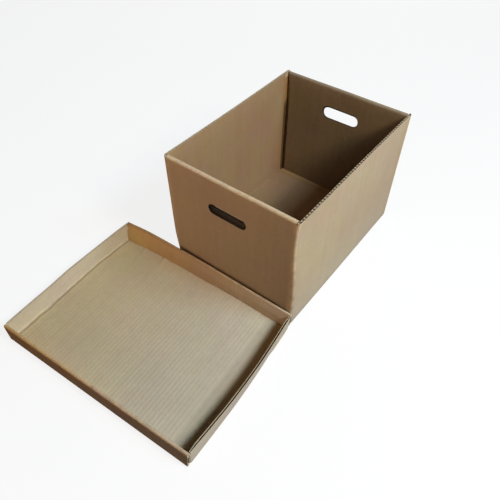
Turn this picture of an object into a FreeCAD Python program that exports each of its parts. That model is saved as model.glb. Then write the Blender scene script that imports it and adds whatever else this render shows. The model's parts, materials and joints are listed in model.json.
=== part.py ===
"""Storage box with a lift-off lid, both folded from single wall corrugated board.

The frame has its origin at the middle of the box's underside, with +Z up and -Y out of the front
end. The box stands open. Its lid lies upside down on the same floor, in front of the front end and
turned a little, with its open side up.

Each piece is one folded sheet and so one solid. The box is a tube of four walls: its two ends are
doubled by a flap that rolls over the rim and hangs inside down to the floor, and its two sides are
single, with the ends of the flutes open along the raw top edge. The lid is a tray: its two long
walls are rolled over and doubled in the same way, and its two short walls are single, with tabs at
their ends that are tucked between the two layers of the long walls.
"""

import FreeCAD
import Part
import math
import os

# Board, in millimetres like every length here.
board_thickness = 4.8
liner_thickness = 0.6
medium_thickness = 0.5
flute_pitch = 8.6
crease_inner_radius = 0.4
roll_gap = 0.6
raw_edge_depth = 6.0

# Box.
box_width = 330.0
box_length = 445.0
box_height = 300.0
roll_end_slot = 3.0
end_panel_foot_taper = 5.0
panel_foot_clearance = 0.5

# Hand holes, cut through both layers of each end.
hand_hole_length = 100.0
hand_hole_height = 26.0
hand_hole_centre_height = 228.0

# Lid.
lid_side_clearance = 3.0
lid_end_clearance = 9.7
lid_height = 47.0
short_wall_lean = 2.0
lid_panel_slant = 5.0
tab_length = 60.0
lid_layer_clearance = 0.3
lid_wall_end_relief = 0.5

# Place of the lid on the floor: sideways, turned, and clear of the front end.
lid_shift = -56.9
lid_turn = 3.67
lid_to_box_gap = 0.9

# Worked out from the sizes above.
crease_radius = board_thickness + crease_inner_radius
roll_radius = board_thickness + roll_gap / 2
roll_inner_radius = roll_gap / 2
lid_length = box_length + 2 * (lid_end_clearance + board_thickness)
lid_width = box_width + 2 * (lid_side_clearance + 2 * roll_radius)

# How far a cutting shape reaches past what it cuts.
overcut = 1.0


def in_xy(height):
    """Place flat points in a level plane at the given height."""
    return lambda u, v: FreeCAD.Vector(u, v, height)


def in_xz(y_place):
    """Place flat points in an upright plane across Y."""
    return lambda u, v: FreeCAD.Vector(u, y_place, v)


def in_yz(x_place):
    """Place flat points in an upright plane across X."""
    return lambda u, v: FreeCAD.Vector(x_place, u, v)


def prism(place, outline, along):
    """Extrude a closed outline of (u, v) corners along a vector."""
    corners = [place(u, v) for u, v in outline]
    face = Part.Face(Part.makePolygon(corners + corners[:1]))
    return face.extrude(FreeCAD.Vector(*along))


def on_circle(centre, radius, degrees):
    """The flat point on a circle at an angle."""
    angle = math.radians(degrees)
    return centre[0] + radius * math.cos(angle), centre[1] + radius * math.sin(angle)


def arc_edge(place, centre, radius, first, last):
    """An arc from one angle to another, in degrees."""
    stops = [on_circle(centre, radius, angle) for angle in (first, (first + last) / 2, last)]
    return Part.Arc(*[place(u, v) for u, v in stops]).toShape()


def line_edge(place, start, end):
    """A straight edge between two flat points."""
    return Part.makeLine(place(*start), place(*end))


def bend(place, centre, first, last, along):
    """The stretch of board that turns a crease, between two angles in degrees."""
    outer = arc_edge(place, centre, crease_radius, first, last)
    inner = arc_edge(place, centre, crease_inner_radius, last, first)
    head = line_edge(place, on_circle(centre, crease_radius, last),
                     on_circle(centre, crease_inner_radius, last))
    foot = line_edge(place, on_circle(centre, crease_inner_radius, first),
                     on_circle(centre, crease_radius, first))
    return Part.Face(Part.Wire([outer, head, inner, foot])).extrude(FreeCAD.Vector(*along))


def rolled_flap(place, outer_face, rim_height, foot_height, slant, along):
    """Board rolled over the rim and hanging inside, from the top of the outer layer.

    The section stands on the positive side: the outer layer's outer face is at outer_face, and
    the flap leans away from it towards its foot by the slant, in degrees.
    """
    centre = (outer_face - roll_radius, rim_height - roll_radius)
    turned = 180 - slant
    outer_start = on_circle(centre, roll_radius, 0)
    outer_end = on_circle(centre, roll_radius, turned)
    inner_end = on_circle(centre, roll_inner_radius, turned)
    inner_start = on_circle(centre, roll_inner_radius, 0)
    lean = math.tan(math.radians(slant))
    foot_outer = (outer_end[0] - (outer_end[1] - foot_height) * lean, foot_height)
    foot_inner = (inner_end[0] - (inner_end[1] - foot_height) * lean, foot_height)
    edges = [arc_edge(place, centre, roll_radius, 0, turned),
             line_edge(place, outer_end, foot_outer),
             line_edge(place, foot_outer, foot_inner),
             line_edge(place, foot_inner, inner_end),
             arc_edge(place, centre, roll_inner_radius, turned, 0),
             line_edge(place, inner_start, outer_start)]
    return Part.Face(Part.Wire(edges)).extrude(FreeCAD.Vector(*along))


def fuse_all(pieces):
    """One solid from pieces that meet."""
    return pieces[0].multiFuse(pieces[1:]).removeSplitter()


def mirrored(shape, normal):
    """The shape mirrored through the origin's plane across a vector."""
    return shape.mirror(FreeCAD.Vector(0, 0, 0), FreeCAD.Vector(*normal))


def box_shell():
    """Four walls and the floor, with every fold rounded on the outside."""
    outer = Part.makeBox(box_width, box_length, box_height,
                         FreeCAD.Vector(-box_width / 2, -box_length / 2, 0))
    rounded = [edge for edge in outer.Edges if edge.BoundBox.ZMin < box_height / 2]
    outer = outer.makeFillet(crease_radius, rounded)
    inside = Part.makeBox(box_width - 2 * board_thickness, box_length - 2 * board_thickness,
                          box_height,
                          FreeCAD.Vector(board_thickness - box_width / 2,
                                         board_thickness - box_length / 2, board_thickness))
    above_ends = Part.makeBox(box_width - 2 * board_thickness, box_length + 2 * overcut,
                              roll_radius + overcut,
                              FreeCAD.Vector(board_thickness - box_width / 2,
                                             -box_length / 2 - overcut,
                                             box_height - roll_radius))
    return outer.cut(inside).cut(above_ends)


def box_end_flap():
    """The back end's rolled flap, narrower towards its foot."""
    half_top = box_width / 2 - board_thickness - roll_end_slot
    half_foot = half_top - end_panel_foot_taper
    foot_height = board_thickness + panel_foot_clearance
    flap = rolled_flap(in_yz(-half_top), box_length / 2, box_height, foot_height, 0,
                       (2 * half_top, 0, 0))
    shoulder = box_height - roll_radius
    outline = [(-half_foot, foot_height - overcut), (half_foot, foot_height - overcut),
               (half_top, shoulder), (half_top, box_height + overcut),
               (-half_top, box_height + overcut), (-half_top, shoulder)]
    keep = prism(in_xz(box_length / 2 + overcut), outline, (0, -2 * roll_radius - 2 * overcut, 0))
    return flap.common(keep)


def hand_hole():
    """The long round-ended hole through both layers of both ends."""
    radius = hand_hole_height / 2
    reach = hand_hole_length / 2 - radius
    start = -box_length / 2 - overcut
    through = (0, box_length + 2 * overcut, 0)
    middle = prism(in_xz(start),
                   [(-reach, hand_hole_centre_height - radius),
                    (reach, hand_hole_centre_height - radius),
                    (reach, hand_hole_centre_height + radius),
                    (-reach, hand_hole_centre_height + radius)], through)
    ends = [Part.makeCylinder(radius, box_length + 2 * overcut,
                              FreeCAD.Vector(side * reach, start, hand_hole_centre_height),
                              FreeCAD.Vector(0, 1, 0)) for side in (-1, 1)]
    return fuse_all([middle] + ends)


def flute_mouths():
    """The open ends of the flutes along the raw top edge of the right side wall.

    The medium zigzags between the two liners, and each turn leaves a three-cornered mouth against
    one liner or the other.
    """
    outer = box_width / 2 - liner_thickness
    inner = box_width / 2 - board_thickness + liner_thickness
    steepness = (outer - inner) / (flute_pitch / 2)
    half_medium = medium_thickness / 2 / math.sin(math.atan(steepness))
    run = box_length - 2 * crease_radius
    count = int(run // flute_pitch)
    first = -count * flute_pitch / 2
    mouths = []
    for index in range(2 * count - 1):
        start = first + index * flute_pitch / 2
        end = start + flute_pitch
        base, tip = (outer, inner) if index % 2 == 0 else (inner, outer)
        tip += math.copysign(half_medium * steepness, base - tip)
        outline = [(base, start + half_medium), (base, end - half_medium),
                   (tip, (start + end) / 2)]
        mouths.append(prism(in_xy(box_height - raw_edge_depth), outline,
                            (0, 0, raw_edge_depth + overcut)))
    return mouths


def box_body():
    """The whole box as one folded sheet."""
    back_flap = box_end_flap()
    body = fuse_all([box_shell(), back_flap, mirrored(back_flap, (0, 1, 0))])
    body = body.cut(hand_hole())
    right_mouths = flute_mouths()
    left_mouths = [mirrored(mouth, (1, 0, 0)) for mouth in right_mouths]
    return body.cut(Part.Compound(right_mouths + left_mouths))


def short_wall_outer_face(height):
    """How far out the short wall's outer face stands at a height above the floor."""
    return lid_length / 2 + (height - crease_radius) * math.tan(math.radians(short_wall_lean))


def beyond_short_wall(inset, low, high):
    """A section, across Y, of all that lies past the short wall's outer face less an inset."""
    far = lid_length / 2 + lid_height
    return [(short_wall_outer_face(low) - inset, low), (far, low), (far, high),
            (short_wall_outer_face(high) - inset, high)]


def lid_long_wall():
    """The back wall of the lid: outer layer, roll and slanted inner layer, cut at both ends."""
    outer_face = lid_width / 2
    half_run = lid_length / 2 + lid_height / 2
    along = (2 * half_run, 0, 0)
    place = in_yz(-half_run)
    crease_centre = (outer_face - crease_radius, crease_radius)
    shoulder = lid_height - roll_radius
    outer_layer = prism(place, [(outer_face - board_thickness, crease_radius),
                                (outer_face, crease_radius), (outer_face, shoulder),
                                (outer_face - board_thickness, shoulder)], along)
    wall = fuse_all([
        bend(place, crease_centre, -90, 0, along), outer_layer,
        rolled_flap(place, outer_face, lid_height, board_thickness + panel_foot_clearance,
                    lid_panel_slant, along)])
    everything = (0, -lid_width, 0)
    end_cut = prism(in_xz(outer_face + overcut),
                    beyond_short_wall(lid_wall_end_relief, -overcut, lid_height + overcut),
                    everything)
    # Below the roll the inner layer stops at the short wall, which passes behind the outer layer.
    notch_top = lid_height - 2 * roll_radius + lid_layer_clearance
    inner_cut = prism(in_xz(outer_face - board_thickness),
                      beyond_short_wall(board_thickness + lid_layer_clearance + crease_inner_radius,
                                        board_thickness + panel_foot_clearance / 2,
                                        notch_top), everything)
    cuts = [end_cut, inner_cut]
    return wall.cut(cuts + [mirrored(cut, (1, 0, 0)) for cut in cuts])


def corner_tab():
    """The tab tucked into the back wall at the right end, squeezed to the room between layers."""
    outer_face = lid_width / 2 - board_thickness - lid_layer_clearance
    foot = board_thickness + panel_foot_clearance
    top = lid_height - 2 * roll_radius
    shoulder = lid_height - roll_radius
    spread = math.tan(math.radians(lid_panel_slant))

    def room(height):
        """How thick the tab is at a height above the floor."""
        return (shoulder - height) * spread + roll_gap - 2 * lid_layer_clearance

    outline = [(outer_face, foot), (outer_face, top), (outer_face - room(top), top),
               (outer_face - room(foot), foot)]
    start = short_wall_outer_face(top) - crease_radius
    return prism(in_yz(start), outline, (-tab_length, 0, 0))


def lid_short_wall():
    """The right wall of the lid, made upright about its crease and then leant outwards."""
    half_low = lid_width / 2 - board_thickness - lid_layer_clearance
    half_high = lid_width / 2 - 2 * roll_radius - lid_layer_clearance
    centre_x = lid_length / 2 - crease_radius
    lean = math.radians(short_wall_lean)
    rim = (lid_height - crease_radius + crease_inner_radius * math.sin(lean)) / math.cos(lean)
    notch = rim - 2 * roll_radius
    straight = half_low - crease_radius
    face = [(-straight, 0), (straight, 0), (straight, notch), (half_high, notch),
            (half_high, rim), (-half_high, rim), (-half_high, notch), (-straight, notch)]
    panel = prism(in_yz(crease_inner_radius), face, (board_thickness, 0, 0))
    corner = bend(in_xy(0), (0, straight), 0, 90, (0, 0, notch))
    groove_low = crease_inner_radius + liner_thickness
    groove_high = crease_radius - liner_thickness
    groove = prism(in_xz(-half_high - overcut),
                   [(groove_low, rim - raw_edge_depth), (groove_high, rim - raw_edge_depth),
                    (groove_high, rim + overcut), (groove_low, rim + overcut)],
                   (0, 2 * half_high + 2 * overcut, 0))
    wall = fuse_all([panel, corner, mirrored(corner, (0, 1, 0))]).cut(groove)
    wall.rotate(FreeCAD.Vector(0, 0, 0), FreeCAD.Vector(0, 1, 0), short_wall_lean)
    crease = bend(in_xz(-straight), (0, 0), -90, -short_wall_lean, (0, 2 * straight, 0))
    wall = fuse_all([wall, crease])
    wall.translate(FreeCAD.Vector(centre_x, 0, crease_radius))
    return wall


def lid():
    """The whole lid as one folded sheet, at its place on the floor."""
    panel = Part.makeBox(lid_length - 2 * crease_radius, lid_width - 2 * crease_radius,
                         board_thickness,
                         FreeCAD.Vector(crease_radius - lid_length / 2,
                                        crease_radius - lid_width / 2, 0))
    back_wall = lid_long_wall()
    right_wall = lid_short_wall()
    tab = corner_tab()
    tabs = [tab, mirrored(tab, (1, 0, 0))]
    tabs += [mirrored(one, (0, 1, 0)) for one in tabs]
    tray = fuse_all([panel, back_wall, mirrored(back_wall, (0, 1, 0)),
                     right_wall, mirrored(right_wall, (1, 0, 0))] + tabs)
    tray.rotate(FreeCAD.Vector(0, 0, 0), FreeCAD.Vector(0, 0, 1), lid_turn)
    room = -box_length / 2 - lid_to_box_gap - tray.BoundBox.YMax
    tray.translate(FreeCAD.Vector(lid_shift, room, 0))
    return tray


def main():
    """Write each piece to its own file."""
    os.makedirs("parts", exist_ok=True)
    box_body().exportStep("parts/box_body.step")
    lid().exportStep("parts/lid.step")


main()
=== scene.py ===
"""Looks of a corrugated storage box and its lift-off lid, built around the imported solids.

Each piece is one folded sheet. A single skin is folded first, then given the board's thickness, and
last its raw edges are opened to show the fluted paper between the two liners.
"""

import bmesh
import bpy
import json
import math
from bpy.props import FloatProperty, FloatVectorProperty, PointerProperty
from mathutils import Matrix, Vector


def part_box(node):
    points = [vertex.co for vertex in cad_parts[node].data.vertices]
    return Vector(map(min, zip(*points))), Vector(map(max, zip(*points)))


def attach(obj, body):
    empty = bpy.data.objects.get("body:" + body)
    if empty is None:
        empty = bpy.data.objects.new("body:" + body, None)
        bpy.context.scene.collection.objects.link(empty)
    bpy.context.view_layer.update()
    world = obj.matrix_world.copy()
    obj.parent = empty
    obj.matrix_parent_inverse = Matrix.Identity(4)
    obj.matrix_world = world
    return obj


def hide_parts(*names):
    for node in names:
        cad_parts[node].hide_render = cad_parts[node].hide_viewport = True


bl_info = {
    "name": "Corrugated storage box",
    "version": (1, 0, 0),
    "blender": (4, 5, 0),
    "location": "View3D > Sidebar > Storage Box",
    "description": "Folds a corrugated box and its lid, and sets them on a studio floor",
    "category": "Add Mesh",
}

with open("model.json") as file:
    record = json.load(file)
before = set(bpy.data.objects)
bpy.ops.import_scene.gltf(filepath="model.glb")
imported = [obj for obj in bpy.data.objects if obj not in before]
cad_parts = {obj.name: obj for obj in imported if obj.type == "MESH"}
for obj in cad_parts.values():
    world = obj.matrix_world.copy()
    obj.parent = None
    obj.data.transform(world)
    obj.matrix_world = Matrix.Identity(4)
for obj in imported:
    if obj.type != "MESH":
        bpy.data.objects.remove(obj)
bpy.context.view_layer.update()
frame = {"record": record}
BOX_LOW, BOX_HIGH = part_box("box_body")
LID_LOW, LID_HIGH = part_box("lid")
MOUNTS = {mount["name"]: Vector(mount["pos_m"]) for mount in frame["record"]["mounts"]}

# Places closer than this are taken for the same, in metres.
NEAR = 1e-5
SLACK = 10 * NEAR

# Material slots of a folded sheet; slot 0 is the outer liner.
RAW, INNER, GROOVE = 1, 2, 3

# Gaps that keep the layers of a folded sheet apart, in metres.
PANEL_FOOT_GAP = 0.0005
LAYER_GAP = 0.0003
CORNER_TRIM = 0.0005

# How squarely a face has to point along an axis: roughly, or with no rounding taken in.
FACING, SQUARE = 0.9, 0.99

CREASE_STEPS = 5
ROLL_STEPS = 10
SMOOTH_ANGLE = math.radians(35)
FLUTE_SMOOTH_ANGLE = math.radians(50)


def metres(name, description, default):
    """A setting for a length."""
    return FloatProperty(name=name, description=description, default=default, unit="LENGTH")


def degrees(name, description, default):
    """A setting for an angle, given in degrees."""
    return FloatProperty(name=name, description=description, default=math.radians(default),
                         subtype="ANGLE")


def watts(name, description, default):
    """A setting for how strong a light is."""
    return FloatProperty(name=name, description=description, default=default, unit="POWER")


def kraft(name, description, default):
    """A setting for the colour of paper."""
    return FloatVectorProperty(name=name, description=description, default=default,
                               subtype="COLOR")


def hand_hole(name, default):
    """A setting for the hand hole in one layer of an end."""
    return FloatVectorProperty(name=name, description="Middle height and opening of the hand hole",
                               size=2, default=default, unit="LENGTH")


class BoardSettings(bpy.types.PropertyGroup):
    """The corrugated board that both pieces are folded from."""

    thickness: metres("Board", "Thickness of the board", 0.0048)
    liner: metres("Liner", "Thickness of the flat paper on each side", 0.0006)
    medium: metres("Medium", "Thickness of the fluted paper inside", 0.0007)
    pitch: metres("Flute pitch", "Distance from one flute to the next", 0.0086)
    crease: metres("Crease radius", "Outer radius of a square fold", 0.0052)
    roll: metres("Roll radius", "Outer radius where the board rolls over a rim", 0.0051)
    outer_kraft: kraft("Outer kraft", "Colour of the outer liner", (0.474, 0.355, 0.231))
    lid_outer_kraft: kraft("Lid outer kraft", "Colour of the lid's outer liner",
                           (0.455, 0.321, 0.192))
    # The box's inner liner is darker and browner than the lid's, partly as painted shade inside the
    # box.
    box_inner_kraft_with_shade: kraft("Box inner kraft", "Colour of the liner inside the box",
                           (0.368, 0.222, 0.1165))
    lid_inner_kraft: kraft("Lid inner kraft", "Colour of the liner inside the lid",
                           (0.552, 0.451, 0.316))
    edge_kraft: kraft("Cut edge", "Colour of the liners where they are cut", (0.55, 0.44, 0.3))
    medium_kraft: kraft("Fluted paper", "Colour of the fluted paper between the liners",
                        (0.5, 0.38, 0.25))


class BoxSettings(bpy.types.PropertyGroup):
    """Sizes of the box."""

    width: metres("Width", "Outside width", BOX_HIGH.x - BOX_LOW.x)
    length: metres("Length", "Outside length", BOX_HIGH.y - BOX_LOW.y)
    height: metres("Height", "Height to the rim", BOX_HIGH.z - BOX_LOW.z)
    end_slot: metres("End slot", "Gap between the rolled rim and the side wall", 0.003)
    foot_taper: metres("Foot taper", "How much narrower a side of the inner layer is at its foot",
                       0.005)
    hole_length: metres("Hole length", "Length of a hand hole", 0.098)
    front_outer_hole: hand_hole("Front hole, outer layer", (0.2235, 0.0255))
    front_inner_hole: hand_hole("Front hole, inner layer", (0.236, 0.027))
    back_outer_hole: hand_hole("Back hole, outer layer", (0.2275, 0.033))
    back_inner_hole: hand_hole("Back hole, inner layer", (0.2335, 0.033))


class LidSettings(bpy.types.PropertyGroup):
    """Sizes and place of the lid."""

    length: metres("Length", "Outside length at the creases", 0.474)
    width: metres("Width", "Outside width", 0.3564)
    height: metres("Height", "Height of the walls", LID_HIGH.z - LID_LOW.z)
    panel_slant: degrees("Panel slant", "Slant of the long walls' inner layers", 5)
    tab: metres("Tab", "Length of a tucked corner tab", 0.06)
    turn: degrees("Turn", "How far the lid is turned on the floor", 3.67)


class StageSettings(bpy.types.PropertyGroup):
    """Floor, lights and camera."""

    floor_size: metres("Floor", "Side of the floor", 12.0)
    lens: FloatProperty(name="Lens", description="Focal length of the camera", default=35.753,
                        unit="CAMERA")
    camera_place: FloatVectorProperty(
        name="Camera", description="Place of the camera", subtype="TRANSLATION",
        default=(0.460516, -0.765684, 0.895722), precision=5)
    camera_turn: degrees("Camera turn", "Which way the camera looks", 36.774)
    camera_tilt: degrees("Camera tilt", "How far the camera looks down", 47.092)
    camera_roll: degrees("Camera roll", "Roll of the camera", 0.611)
    key_light: watts("Key light", "Power of the main light, high on the right", 35.0)
    near_light: watts("Near light", "Power of the warmer light close on the right", 17.6)
    side_light: watts("Side light", "Power of the low light on the right", 19.2)
    front_light: watts("Front light", "Power of the weak warm light in front", 13.2)
    back_light: watts("Back light", "Power of the light behind on the left", 26.0)


def start_alone():
    """Leave edit mode and select nothing."""
    if bpy.context.object and bpy.context.object.mode != "OBJECT":
        bpy.ops.object.mode_set(mode="OBJECT")
    bpy.ops.object.select_all(action="DESELECT")


def take(piece):
    """Make a piece the only one selected."""
    start_alone()
    piece.select_set(True)
    bpy.context.view_layer.objects.active = piece


def settle(piece):
    """Bring a piece's place, turn and scale into its mesh."""
    take(piece)
    bpy.ops.object.transform_apply(location=True, rotation=True, scale=True)


def middle(part):
    """The middle of a corner, an edge or a face."""
    if isinstance(part, bmesh.types.BMVert):
        return part.co
    return sum((corner.co for corner in part.verts), Vector()) / len(part.verts)


def pick(piece, kind, test):
    """Select, in edit mode, only the corners, edges or faces that pass a test."""
    bpy.ops.mesh.select_mode(type=kind)
    bpy.ops.mesh.select_all(action="DESELECT")
    mesh = bmesh.from_edit_mesh(piece.data)
    parts = {"VERT": mesh.verts, "EDGE": mesh.edges, "FACE": mesh.faces}[kind]
    found = [part for part in parts if test(part)]
    for part in found:
        part.select_set(True)
    mesh.select_flush_mode()
    bmesh.update_edit_mesh(piece.data)
    if not found:
        raise RuntimeError(f"nothing to shape on {piece.name}")


def near(first, second, reach=NEAR):
    """Whether two measures are the same, or as good as."""
    return abs(first - second) < reach


def all_corners(test):
    """A test that every corner of an edge or a face has to pass."""
    return lambda part: all(test(corner.co) for corner in part.verts)


def slice_across(places, axis):
    """Cut the whole sheet being edited at places along an axis."""
    across = Vector([axis == name for name in "xyz"])
    for place in places:
        bpy.ops.mesh.select_all(action="SELECT")
        bpy.ops.mesh.bisect(plane_co=across * place, plane_no=across)


def evenly(low, high, count):
    """Places that divide a length in equal parts, its ends left out."""
    return [low + (high - low) * index / count for index in range(1, count)]


def extrude(shift):
    """Draw the selected edges or faces out by a shift."""
    bpy.ops.mesh.extrude_region_move(TRANSFORM_OT_translate={"value": shift})


def fold_square(centre, axis):
    """Turn the selected edges up by a quarter about a centre, with a rounded crease."""
    bpy.ops.mesh.spin(steps=CREASE_STEPS, angle=math.pi / 2, center=centre, axis=axis)


def close_sheet():
    """Join corners that meet and turn the skin's outside outwards."""
    bpy.ops.mesh.select_all(action="SELECT")
    bpy.ops.mesh.remove_doubles(threshold=NEAR)
    bpy.ops.mesh.normals_make_consistent(inside=False)


def smooth_between(stations, place):
    """The value at a place on a smooth line through (place, value) stations."""
    if place <= stations[0][0]:
        return stations[0][1]
    if place >= stations[-1][0]:
        return stations[-1][1]
    index = max(i for i, station in enumerate(stations) if station[0] <= place)

    def slope(i):
        """Slope of the line at a station."""
        low, high = stations[max(i - 1, 0)], stations[min(i + 1, len(stations) - 1)]
        return (high[1] - low[1]) / (high[0] - low[0])

    (start, first), (end, last) = stations[index], stations[index + 1]
    run = end - start
    part = (place - start) / run
    return ((2 * part ** 3 - 3 * part ** 2 + 1) * first + (part ** 3 - 2 * part ** 2 + part)
            * run * slope(index) + (3 * part ** 2 - 2 * part ** 3) * last
            + (part ** 3 - part ** 2) * run * slope(index + 1))


def ease(piece, rule):
    """Bend a sheet by a rule that gives each corner's shift."""
    for vertex in piece.data.vertices:
        vertex.co += Vector(rule(vertex.co))


def keep_within(piece, low, high):
    """Hold every corner within a box."""
    for vertex in piece.data.vertices:
        for axis in range(3):
            vertex.co[axis] = min(max(vertex.co[axis], low[axis]), high[axis])


def lay_out(piece, rule):
    """Give the sheet a map, in metres: across the flutes, then along them."""
    layer = piece.data.uv_layers.active or piece.data.uv_layers.new()
    layer.name = "Flutes"
    for face in piece.data.polygons:
        for loop in face.loop_indices:
            corner = piece.data.vertices[piece.data.loops[loop].vertex_index].co
            layer.data[loop].uv = rule(corner, face.normal)


def apply_modifier(piece, modifier):
    """Apply a modifier that was just added."""
    take(piece)
    bpy.ops.object.modifier_apply(modifier=modifier.name)


def thicken(piece, board, weights=None):
    """Give the skin the board's thickness on its inner side, with faces kept apart by finish."""
    solid = piece.modifiers.new("Board", "SOLIDIFY")
    solid.thickness = board.thickness
    solid.offset = -1
    solid.use_even_offset = True
    solid.material_offset = INNER
    solid.material_offset_rim = RAW
    if weights:
        solid.vertex_group = weights.name
        solid.thickness_vertex_group = 0.0
    apply_modifier(piece, solid)


def open_edges(piece, board, depth, test):
    """Sink the middle of raw edges that pass a test, so that the liners stand on both sides."""
    take(piece)
    bpy.ops.object.mode_set(mode="EDIT")
    pick(piece, "FACE", lambda face: face.material_index == RAW and test(face))
    bpy.ops.mesh.inset(thickness=board.liner, use_boundary=True, use_even_offset=True)
    bpy.ops.mesh.extrude_region_shrink_fatten(
        TRANSFORM_OT_shrink_fatten={"value": -depth, "use_even_offset": False})
    piece.active_material_index = GROOVE
    bpy.ops.object.material_slot_assign()
    bpy.ops.object.mode_set(mode="OBJECT")


def round_off(piece, low, high):
    """Hold a finished sheet within its solid's box, and shade its bends smoothly."""
    keep_within(piece, low, high)
    take(piece)
    bpy.ops.object.shade_smooth_by_angle(angle=SMOOTH_ANGLE)


# The hand holes sit a little to the left of the middle.
HOLE_SHIFT = -0.003
# How far the ends of a hole are rounded: nearly to half circles.
HOLE_ROUNDING = 0.999
HOLE_STEPS = 8


def cut_hand_hole(piece, box, board, layer, hole):
    """Cut a round-ended hole through one layer of an end wall, at the layer's place along Y."""
    height, opening = hole
    half, radius = box.hole_length / 2, opening / 2
    depth = board.roll / 2
    bpy.ops.mesh.select_all(action="DESELECT")
    bpy.ops.mesh.primitive_cube_add(
        size=1, location=(HOLE_SHIFT, layer, height), scale=(2 * half, 2 * depth, 2 * radius))

    def in_cutter(corner):
        """Whether a corner belongs to the cutting shape."""
        return (near(abs(corner.y - layer), depth)
                and near(corner.x, HOLE_SHIFT, half + NEAR)
                and near(corner.z, height, radius + NEAR))

    pick(piece, "EDGE", lambda edge: all_corners(in_cutter)(edge)
         and abs(edge.verts[0].co.y - edge.verts[1].co.y) > depth)
    bpy.ops.mesh.bevel(offset=radius * HOLE_ROUNDING, segments=HOLE_STEPS, affect="EDGES")
    pick(piece, "FACE", all_corners(in_cutter))
    bpy.ops.mesh.intersect(mode="SELECT_UNSELECT", separate_mode="NONE", solver="EXACT")

    def in_hole(corner):
        """Whether a corner lies within the hole or on its outline."""
        past = max(0, abs(corner.x - HOLE_SHIFT) - half + radius)
        return (near(corner.y, layer, depth + NEAR)
                and past ** 2 + (corner.z - height) ** 2 < (radius + SLACK) ** 2)

    pick(piece, "FACE", all_corners(in_hole))
    bpy.ops.mesh.delete(type="FACE")


def fold_end_flap(piece, box, board, side):
    """Roll an end wall over its rim and hang it inside, down to the floor."""
    shoulder = box.height - board.roll
    half_top = box.width / 2 - board.thickness - box.end_slot
    half_foot = half_top - box.foot_taper
    wall = box.length / 2
    pick(piece, "EDGE", all_corners(
        lambda corner: near(corner.z, shoulder) and near(corner.y, side * wall)
        and abs(corner.x) < half_top + NEAR))
    bpy.ops.mesh.spin(steps=ROLL_STEPS, angle=math.pi,
                      center=(0, side * (wall - board.roll), shoulder), axis=(-side, 0, 0))
    extrude((0, 0, board.thickness + PANEL_FOOT_GAP - shoulder))
    bpy.ops.transform.resize(value=(half_foot / half_top, 1, 1), center_override=(0, 0, 0))


# How far the walls are set away from the floor on the box's map, across the flutes.
SIDE_OFFSET, END_OFFSET = 2, 4
BOX_SLICES_X, BOX_SLICES_Y, BOX_SLICES_Z = 16, 20, 14


def box_map(corner, normal):
    """Where a point of the box lies on its flat sheet."""
    if abs(normal.z) > max(abs(normal.x), abs(normal.y)):
        return corner.y, corner.x
    if abs(normal.x) > abs(normal.y):
        return corner.y + math.copysign(SIDE_OFFSET, corner.x), corner.z
    return corner.x + math.copysign(END_OFFSET, corner.y), corner.z


def fold_box():
    """Fold the box as one sheet."""
    scene = bpy.context.scene
    board, box = scene.storage_board, scene.storage_box
    start_alone()
    bpy.ops.mesh.primitive_cube_add(size=1, location=(0, 0, box.height / 2),
                                    scale=(box.width, box.length, box.height))
    piece = bpy.context.object
    piece.name = "storage_box"
    settle(piece)
    bpy.ops.object.mode_set(mode="EDIT")
    pick(piece, "FACE", lambda face: face.normal.z > FACING)
    bpy.ops.mesh.delete(type="ONLY_FACE")
    pick(piece, "EDGE", lambda edge: min(corner.co.z for corner in edge.verts) < box.height / 2)
    bpy.ops.mesh.bevel(offset=board.crease, segments=CREASE_STEPS, affect="EDGES")
    shoulder = box.height - board.roll
    half_top = box.width / 2 - board.thickness - box.end_slot
    outer, inner = box.length / 2, box.length / 2 - 2 * board.roll
    slice_across([shoulder], "z")
    slice_across([-half_top, half_top], "x")
    pick(piece, "FACE", lambda face: abs(face.normal.y) > SQUARE and middle(face).z > shoulder)
    bpy.ops.mesh.delete(type="FACE")
    for side in (-1, 1):
        fold_end_flap(piece, box, board, side)
    slice_across(evenly(0, shoulder, BOX_SLICES_Z), "z")
    slice_across(evenly(-half_top, half_top, BOX_SLICES_X), "x")
    slice_across(evenly(-inner, inner, BOX_SLICES_Y), "y")
    for layer, hole in ((-outer, box.front_outer_hole), (-inner, box.front_inner_hole),
                        (outer, box.back_outer_hole), (inner, box.back_inner_hole)):
        cut_hand_hole(piece, box, board, layer, hole)
    close_sheet()
    bpy.ops.object.mode_set(mode="OBJECT")
    lay_out(piece, box_map)
    ease(piece, box_bend)
    return piece


# How deep the raw edges of the box are open: its rims, its inner layers and its hand holes.
BOX_RIM_DEPTH, PANEL_EDGE_DEPTH, HOLE_EDGE_DEPTH = 0.012, 0.003, 0.008


def finish_box(piece):
    """Thicken the folded box, open its raw edges and give it its finishes."""
    scene = bpy.context.scene
    board, box = scene.storage_board, scene.storage_box
    sheet_finishes(piece, board, (board.outer_kraft, BOX_WEAR_AND_SHADE), (board.box_inner_kraft_with_shade, BOX_WEAR_AND_SHADE))
    thicken(piece, board)
    top = box.height - 2 * SLACK
    half_top = box.width / 2 - board.thickness - box.end_slot
    hole_reach = box.hole_length / 2 - HOLE_SHIFT + SLACK
    hole_foot = box.back_outer_hole[0] - box.back_outer_hole[1]
    open_edges(piece, board, BOX_RIM_DEPTH, lambda face: middle(face).z > top)
    open_edges(piece, board, PANEL_EDGE_DEPTH,
               lambda face: middle(face).z < box.height - 2 * board.roll
               and abs(face.normal.x) > FACING and hole_reach < abs(middle(face).x) < half_top)
    open_edges(piece, board, HOLE_EDGE_DEPTH,
               lambda face: abs(middle(face).x) < hole_reach
               and hole_foot < middle(face).z < box.height - 3 * board.roll)
    round_off(piece, BOX_LOW, BOX_HIGH)
    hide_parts("box_body")
    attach(piece, "root")


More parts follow.
